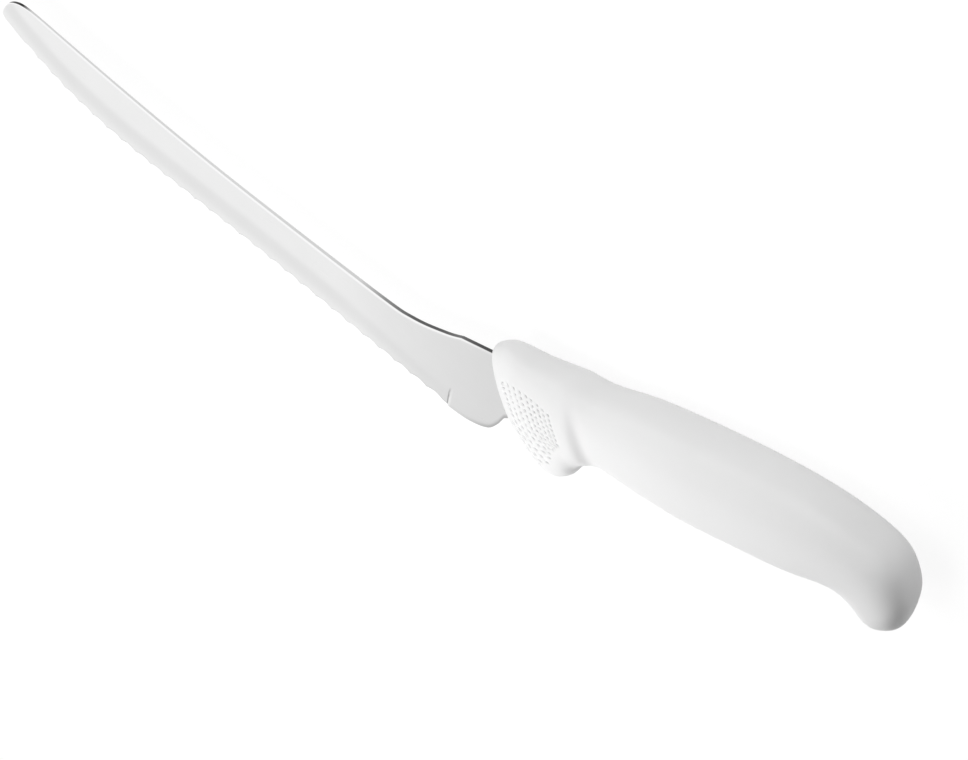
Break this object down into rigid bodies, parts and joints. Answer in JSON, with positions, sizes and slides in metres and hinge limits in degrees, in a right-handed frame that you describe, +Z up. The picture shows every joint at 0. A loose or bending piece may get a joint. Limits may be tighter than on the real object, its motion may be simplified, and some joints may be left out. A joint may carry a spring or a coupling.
{
  "type": "offset bread knife",
  "caption": "Offset bread knife: a tapered steel blade with a scalloped edge, set below a moulded white handle with a dotted finger guard and a hooked butt.",
  "frame": {"origin": "under the middle of the knife's box, on the surface that the knife lies on", "axes": "+X from the blade's tip to the handle's butt, +Y from the cutting edge to the spine, +Z up out of the flank away from the scallops' bevels"},
  "size_m": [0.3376, 0.0698, 0.022],
  "materials": {
    "blade_steel": "satin stainless steel with a fine lengthwise polish and brighter ground scallops",
    "core_polymer": "plain moulded rigid polymer",
    "grip_polymer": "satin white moulded elastomer with small sunk dots on both finger pads"
  },
  "bodies": {
    "root": {"blade": "blade_steel", "handle_core": "core_polymer", "handle_grip": "grip_polymer"}
  },
  "joints": []
}
